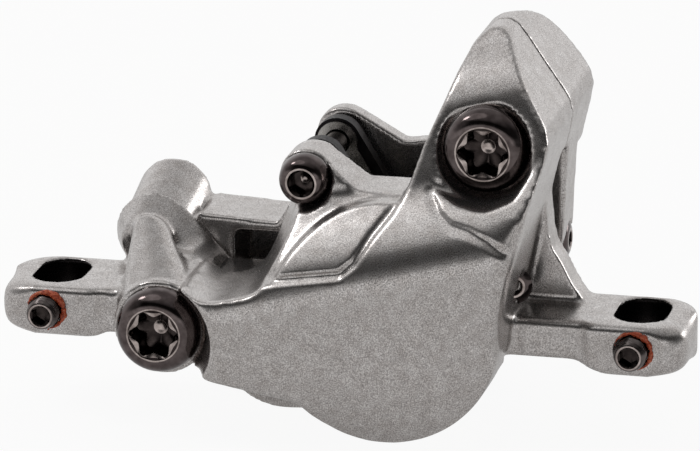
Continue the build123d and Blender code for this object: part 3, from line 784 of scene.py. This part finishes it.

# %% [markdown]
# The two body bolts are button heads with a six-lobe socket. The dome runs from the seat almost to the
# socket's rim, and the rim is the one bright line on the head, a painted highlight of bright steel.


# %% Body bolts
def body_bolt(side, centre, seat, length):
    """Bolt with its head's underside at the seat, a place along Y; mm."""
    rings = [
        (2.4, -length, SKIN), *thread(2.98, 0.42, 1.0, -length + 0.6, -length + 12.0),
        (2.95, -length + 12.4, SKIN), (2.95, -0.3, SKIN), (5.1, 0.0, SKIN), (5.36, 0.08, SKIN),
        (5.44, 0.22, PAINTED_GLINT), (5.4, 0.4, SKIN), *dome(5.38, 3.4, 0.44, 3.16),
        (3.44, 3.19, SKIN), (3.4, 3.2, PAINTED_GLINT), (3.26, 3.16, PAINTED_GLINT), (lobes(3.2, 0.10), 3.1, HOLLOW),
        (lobes(3.08, 0.24), 2.9, PAINTED_GLINT), (lobes(2.98, 0.28), -0.1, HOLLOW), (lobes(2.5, 0.2), -0.25, HOLLOW),
        (0.9, -0.35, HOLLOW), (0.6, -0.5, PAINTED_GLINT), (0.2, -0.6, PAINTED_GLINT),
    ]
    replaced = side + "_body_bolt"
    turned_piece(replaced + "_turned", (centre.x, seat, centre.z), 0, rings, BLACK_FINISHES, replaced)


body_bolt("left", LEFT_BOLT, seat=-10.0, length=25.0)
body_bolt("right", RIGHT_BOLT, seat=-4.5, length=20.0)

# %% [markdown]
# The pad pin has a smaller dome with a hexagon socket, a threaded neck in the outboard boss, a plain ground
# shaft that the pads hang on, and a groove for the clip at its far end.

# %% Pad pin
PIN_HEAD = 3.0
PIN_END = 2.2
low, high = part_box("pad_pin")
TIP = (high.y - low.y) / MM - PIN_HEAD
GROOVE = TIP - PIN_END
pin_rings = [
    (1.25, -TIP, SKIN), (1.48, -TIP + 0.25, SKIN), (1.48, -GROOVE - 0.52, SKIN), (1.1, -GROOVE - 0.5, SKIN),
    (1.1, -GROOVE + 0.02, SKIN), (1.48, -GROOVE + 0.04, SKIN), (1.48, -5.2, SKIN),
    *thread(2.28, 0.3, 0.8, -5.1, -0.5), (2.0, -0.3, SKIN), (3.0, 0.0, SKIN), (3.2, 0.1, PAINTED_GLINT),
    (3.24, 0.4, SKIN), *dome(3.24, 1.95, 0.45, 2.9),
    (1.98, 2.95, SKIN), (1.92, 2.97, PAINTED_GLINT), (1.74, 2.93, PAINTED_GLINT), (1.62, 2.75, HOLLOW),
    (flats(1.6), 2.6, HOLLOW), (flats(1.56), 0.6, HOLLOW), (0.6, 0.5, HOLLOW), (0.4, 0.35, PAINTED_GLINT),
    (0.1, 0.25, PAINTED_GLINT),
]
PIN_SEAT = (PIN.x, low.y / MM + PIN_HEAD, PIN.z)
turned_piece("pad_pin_turned", PIN_SEAT, 0, pin_rings, BLACK_FINISHES, "pad_pin")

# %% [markdown]
# Two set screws stand out of the ears' front faces and push against the mounting bolts. Each is a plain
# threaded rod with a chamfered end and a hexagon socket.


# %% Set screws
def set_screw(side, centre):
    """Screw whose seat is its front end."""
    replaced = side + "_set_screw"
    low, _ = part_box(replaced)
    rings = [
        (1.3, -6.0, SKIN), (1.6, -5.98, SKIN), *thread(1.98, 0.22, 0.7, -5.7, -0.45),
        (1.8, -0.28, SKIN), (1.7, -0.1, SKIN), (1.55, -0.01, SKIN), (1.42, 0.0, PAINTED_GLINT), (1.34, -0.04, PAINTED_GLINT),
        (1.26, -0.14, HOLLOW), (flats(1.24), -0.22, HOLLOW), (flats(1.2), -1.9, HOLLOW), (0.5, -2.0, HOLLOW),
    ]
    seat = (centre.x, low.y / MM, centre.z)
    finishes = [SCREW_STEEL, GLINT_PAINTED_STEEL, SOCKET_PAINTED_SHADE]
    turned_piece(replaced + "_turned", seat, 0, rings, finishes, replaced, replaced)


set_screw("left", LEFT_SET)
set_screw("right", RIGHT_SET)

# %% [markdown]
# Threadlocker squeezed out of the bores as the screws went in and dried as a ragged orange-red bead round
# part of each screw. A bead follows a path, so Geometry Nodes draw it: an arc, a tube round the arc whose
# width wanders with a noise and fades at both ends, and loose crumbs along it from a fixed seed. These are
# its inputs, with their kinds and usual values.

# %% Inputs of a dried bead
BEAD_INPUTS = {
    "Ring radius": ("NodeSocketFloat", 2.35 * MM),
    "Start angle": ("NodeSocketFloat", 0.0),
    "Sweep angle": ("NodeSocketFloat", 3.0),
    "Tube radius": ("NodeSocketFloat", 0.3 * MM),
    "Crumb radius": ("NodeSocketFloat", 0.1 * MM),
    "Crumbs": ("NodeSocketInt", 40),
    "Seed": ("NodeSocketInt", 3),
}
print("bead inputs", list(BEAD_INPUTS))

# %% [markdown]
# The tube's width follows half a sine wave from end to end, times a noise.

# %% Tube of a bead
TUBE_POINTS = 12
WANDER = 0.9 * MM
LEAST_WIDTH = 0.04


def wandering_width(tree, seed):
    """Width along the arc, as a share of the tube's radius."""
    inputs = {"Scale": 1 / WANDER, "Detail": 3.0, "W": seed}
    ragged = node(tree, "ShaderNodeTexNoise", inputs, noise_dimensions="4D").outputs[0]
    along = node(tree, "GeometryNodeSplineParameter").outputs["Factor"]
    ends = calculated(tree, "SINE", calculated(tree, "MULTIPLY", along, math.pi))
    wander = mapped(tree, ragged, 0.3, 0.7, 0.25, 1.0)
    return calculated(tree, "ADD", calculated(tree, "MULTIPLY", ends, wander), LEAST_WIDTH)


def bead_tube(tree, arc, size):
    """Tube along the arc."""
    circle = {"Resolution": TUBE_POINTS, "Radius": size["Tube radius"]}
    profile = node(tree, "GeometryNodeCurvePrimitiveCircle", circle).outputs[0]
    width = wandering_width(tree, size["Seed"])
    inputs = {"Curve": arc, "Profile Curve": profile, "Fill Caps": True, "Scale": width}
    return node(tree, "GeometryNodeCurveToMesh", inputs).outputs[0]


print("tube with", TUBE_POINTS, "corners, least width", LEAST_WIDTH)

# %% [markdown]
# The crumbs are small balls of mixed sizes that stray from the arc a little. The Random Value node repeats
# its sockets' names for every kind of value, so those of a plain number are named here.

# %% Crumbs of a bead
STRAY = (0.3 * MM, 0.05 * MM, 0.3 * MM)
RANDOM_LEAST, RANDOM_MOST, RANDOM_NUMBER = 2, 3, 1


def bead_crumbs(tree, arc, size):
    """Small balls strewn along the arc."""
    spots = node(tree, "GeometryNodeCurveToPoints", {"Curve": arc, "Count": size["Crumbs"]}, mode="COUNT")
    bounds = {"Min": tuple(-s for s in STRAY), "Max": STRAY, "Seed": size["Seed"]}
    stray = node(tree, "FunctionNodeRandomValue", bounds, data_type="FLOAT_VECTOR")
    inputs = {"Geometry": spots.outputs[0], "Offset": stray.outputs[0]}
    strewn = node(tree, "GeometryNodeSetPosition", inputs)
    crumb = node(tree, "GeometryNodeMeshIcoSphere", {"Radius": size["Crumb radius"], "Subdivisions": 2})
    shares = {RANDOM_LEAST: 0.3, RANDOM_MOST: 1.0, "Seed": size["Seed"]}
    scale = node(tree, "FunctionNodeRandomValue", shares, data_type="FLOAT").outputs[RANDOM_NUMBER]
    inputs = {"Points": strewn.outputs[0], "Instance": crumb.outputs[0], "Scale": scale}
    return node(tree, "GeometryNodeInstanceOnPoints", inputs).outputs[0]


print("crumbs stray by up to", round(STRAY[0] / MM, 2), "mm")

# %% [markdown]
# The whole tree bends an arc, stands it up to face the viewer, and joins tube and crumbs to one mesh.

# %% Tree for a dried bead
ARC_POINTS = 80


def bead_tree(finish):
    """Tree of a ragged bead along an arc in the XZ plane."""
    tree = bpy.data.node_groups.new("dried_bead", "GeometryNodeTree")
    for name, (kind, value) in BEAD_INPUTS.items():
        tree.interface.new_socket(name=name, in_out="INPUT", socket_type=kind).default_value = value
    tree.interface.new_socket(name="Geometry", in_out="OUTPUT", socket_type="NodeSocketGeometry")
    size = tree.nodes.new("NodeGroupInput").outputs
    flat_arc = node(tree, "GeometryNodeCurveArc", {
        "Resolution": ARC_POINTS, "Radius": size["Ring radius"],
        "Start Angle": size["Start angle"], "Sweep Angle": size["Sweep angle"],
    }).outputs[0]
    stand = {"Geometry": flat_arc, "Rotation": (math.pi / 2, 0, 0)}
    arc = node(tree, "GeometryNodeTransform", stand).outputs[0]
    tube, crumbs = bead_tube(tree, arc, size), bead_crumbs(tree, arc, size)
    joined = node(tree, "GeometryNodeJoinGeometry")
    tree.links.new(crumbs, joined.inputs[0])
    tree.links.new(tube, joined.inputs[0])
    real = node(tree, "GeometryNodeRealizeInstances", {"Geometry": joined.outputs[0]})
    dressed = node(tree, "GeometryNodeSetMaterial", {"Geometry": real.outputs[0], "Material": finish})
    node(tree, "NodeGroupOutput", {"Geometry": dressed.outputs[0]})
    return tree


BEAD = bead_tree(THREADLOCK)
print("tree", BEAD.name, "nodes", len(BEAD.nodes))

# %% [markdown]
# The left bead is the wider one: more threadlocker was used there. Each bead is baked to a plain mesh.

# %% Threadlocker beads
EAR_FACE = -7.4
BEADS = {
    "left_threadlock": (LEFT_SET, {
        "Start angle": -1.5, "Sweep angle": 4.4, "Tube radius": 0.75 * MM, "Seed": 3,
    }),
    "right_threadlock": (RIGHT_SET, {
        "Start angle": -1.3, "Sweep angle": 4.0, "Tube radius": 0.55 * MM, "Crumbs": 24, "Seed": 8,
    }),
}
for name, (centre, sizes) in BEADS.items():
    piece = linked(name, bpy.data.meshes.new(name))
    grown = piece.modifiers.new("bead", "NODES")
    grown.node_group = BEAD
    for item in BEAD.interface.items_tree:
        if item.in_out == "INPUT" and item.name in sizes:
            grown[item.identifier] = sizes[item.name]
    bake(piece)
    move_to(piece, coordinates(piece) + np.array((centre.x, EAR_FACE, centre.z)))
    outward(piece.data)
    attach(piece, "caliper")
    print(name, "faces", len(piece.data.polygons))

# %% [markdown]
# The two bleed screws close the fluid passages: small glossy black domes with a hexagon. The outboard one
# is screwed in from the front right, 18 degrees off the viewer's line; the inboard one from the right side.

# %% Bleed screws
FLANGE_RADIUS = 2.4


def bleed_screw(side, turn):
    """Screw turned from the viewer round to the right; its top lies on the solid's outer end."""
    replaced = side + "_bleed_screw"
    low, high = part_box(replaced)
    rings = [
        (1.3, -2.84, SKIN), (1.5, -2.6, SKIN), (1.5, -0.9, SKIN), (2.36, -0.88, SKIN), (2.38, -0.5, SKIN),
        (2.2, -0.28, SKIN), (1.75, -0.1, SKIN), (1.4, -0.02, SKIN), (1.18, 0.0, PAINTED_GLINT), (1.06, -0.06, PAINTED_GLINT),
        (flats(1.0), -0.15, HOLLOW), (flats(0.95), -1.0, HOLLOW), (0.3, -1.1, HOLLOW),
    ]
    axis = Matrix.Rotation(math.radians(turn), 3, "Z") @ Vector((0, -1, 0))
    half_width = ((high - low) / 2 / MM).x
    reach = half_width - FLANGE_RADIUS * math.cos(math.radians(turn))
    seat = middle(replaced) + axis * (reach / axis.x)
    turned_piece(replaced + "_turned", seat, turn, rings, BLACK_FINISHES, replaced)


bleed_screw("outboard", turn=18)
bleed_screw("inboard", turn=90)

# %% [markdown]
# The studio is plain. The floor is pale paper just under the caliper. The camera sees it almost white, and
# reflections see it partly white, while the rest of it stays lit paper, so that the caliper's shadow is kept.

# %% Floor
LEVEL = cad_box[0].z - 0.3 * MM
REACH = 3.0
SEEN_WHITE, MIRRORED_WHITE = 0.93, 0.40


def rays_of(tree):
    """Whether a ray comes from the camera, and whether it makes a reflection or passes through glass."""
    rays = node(tree, "ShaderNodeLightPath").outputs
    shiny = calculated(tree, "MAXIMUM", rays["Is Glossy Ray"], rays["Is Transmission Ray"])
    return rays["Is Camera Ray"], shiny


floor_data = bpy.data.meshes.new("floor")
corners = [(-REACH, -REACH, LEVEL), (REACH, -REACH, LEVEL), (REACH, REACH, LEVEL), (-REACH, REACH, LEVEL)]
floor_data.from_pydata(corners, [], [(0, 1, 2, 3)])
floor = linked("floor", floor_data)
paper, tree, shader, _ = finish_named("pale_studio_paper")
feed(tree, shader, {"Roughness": 0.9, "Base Color": linear("#f4f3f2")})
white = node(tree, "ShaderNodeEmission", {"Color": WHITE, "Strength": 1.0})
from_camera, shiny = rays_of(tree)
to_camera = calculated(tree, "MULTIPLY", from_camera, SEEN_WHITE)
to_metal = calculated(tree, "MULTIPLY", shiny, MIRRORED_WHITE)
share = calculated(tree, "MAXIMUM", to_camera, to_metal)
surface = node(tree, "ShaderNodeMixShader", {"Fac": share, 1: shader.outputs[0], 2: white.outputs[0]})
feed(tree, tree.nodes["Material Output"], {"Surface": surface.outputs[0]})
floor_data.materials.append(paper)
print("floor", round(LEVEL / MM, 2), "mm")

# %% [markdown]
# A satin metal shows its surroundings, so the world is built like a photo studio. Behind the caliper hangs
# the white backdrop. The side towards the viewer is a dark room above a bright floor, which is why every
# surface that tilts up at the front turns black. Over this lie a darker right side and a paler left side.
# The camera sees white everywhere, and reflections see it straight behind the caliper.

# %% World
world = bpy.data.worlds.new("studio")
bpy.context.scene.world = world
world.use_nodes = True
tree = world.node_tree
tree.nodes.clear()
direction = node(tree, "ShaderNodeTexCoord").outputs["Generated"]
across, deep, height = node(tree, "ShaderNodeSeparateXYZ", {"Vector": direction}).outputs
front = ramp(tree, height, [
    (0.0, grey(1.0)), (0.16, grey(0.95)), (0.30, grey(0.03)),
    (0.62, grey(0.02)), (0.80, grey(0.25)), (1.0, grey(0.45)),
])
rear = ramp(tree, height, [(0.0, grey(1.0)), (0.5, grey(0.85)), (0.8, grey(0.55)), (1.0, grey(0.5))])
room = mixed(tree, mapped(tree, deep, -0.15, 0.25), front, rear)
room = mixed(tree, mapped(tree, across, 0.5, 0.85, 0.0, 0.9), room, grey(0.05))
room = mixed(tree, mapped(tree, across, -0.55, -0.95, 0.0, 0.6), room, grey(0.7))
light = node(tree, "ShaderNodeBackground", {"Color": room, "Strength": 1.0})
backdrop = node(tree, "ShaderNodeBackground", {"Color": WHITE, "Strength": 1.0})
from_camera, shiny = rays_of(tree)
mirrored = calculated(tree, "MULTIPLY", shiny, mapped(tree, deep, 0.55, 0.75))
seen = calculated(tree, "MAXIMUM", mirrored, from_camera)
chosen = node(tree, "ShaderNodeMixShader", {"Fac": seen, 1: light.outputs[0], 2: backdrop.outputs[0]})
node(tree, "ShaderNodeOutputWorld", {"Surface": chosen.outputs[0]})
print("world nodes", len(tree.nodes))

# %% [markdown]
# A wide soft lamp overhead lights the slopes and the floor. One behind on the right gives the pale side of
# the tower, and a small one high on the left puts the bright glints on the bolt heads and rounded edges.

# %% Lamps
AIM = Vector((0, 0, 0.015))
LAMPS = {
    "overhead": ((-0.21, -0.07, 0.50), 0.40, 0.22),
    "right_rear": ((0.46, 0.40, 0.14), 0.26, 0.6),
    "glint": ((-0.33, 0.02, 0.38), 0.11, 0.30),
}
for name, (place, width, power) in LAMPS.items():
    data = bpy.data.lights.new(name, "AREA")
    data.shape, data.size, data.energy = "DISK", width, power
    lamp = linked(name, data)
    lamp.location = place
    lamp.rotation_mode = "QUATERNION"
    lamp.rotation_quaternion = (AIM - Vector(place)).to_track_quat("-Z", "Y")
    print("lamp", name, width, "m wide", power, "W")

# %% [markdown]
# The camera was solved from the photo: the slots, screw axes and bulge fix its angle, distance and lens.

# %% Camera
AZIMUTH, ELEVATION, ROLL = math.radians(14.09), math.radians(17.8), math.radians(-0.61)
TARGET, DISTANCE = Vector((0.24, 0, 14.79)) * MM, 0.600
LENS, SENSOR = 249.87, 36.0
level = math.cos(ELEVATION)
back = Vector((math.sin(AZIMUTH) * level, -math.cos(AZIMUTH) * level, math.sin(ELEVATION)))
right = Vector((math.cos(AZIMUTH), math.sin(AZIMUTH), 0))
up = back.cross(right)
right_turned = math.cos(ROLL) * right + math.sin(ROLL) * up
up_turned = -math.sin(ROLL) * right + math.cos(ROLL) * up
camera_data = bpy.data.cameras.new("camera")
camera_data.lens, camera_data.sensor_width = LENS, SENSOR
camera = linked("camera", camera_data)
turn = Matrix((right_turned, up_turned, back)).transposed()
camera.matrix_world = Matrix.Translation(TARGET + back * DISTANCE) @ turn.to_4x4()
bpy.context.scene.camera = camera
bpy.context.scene.view_settings.view_transform = "Standard"
print("camera", LENS, "mm lens at", DISTANCE, "m")
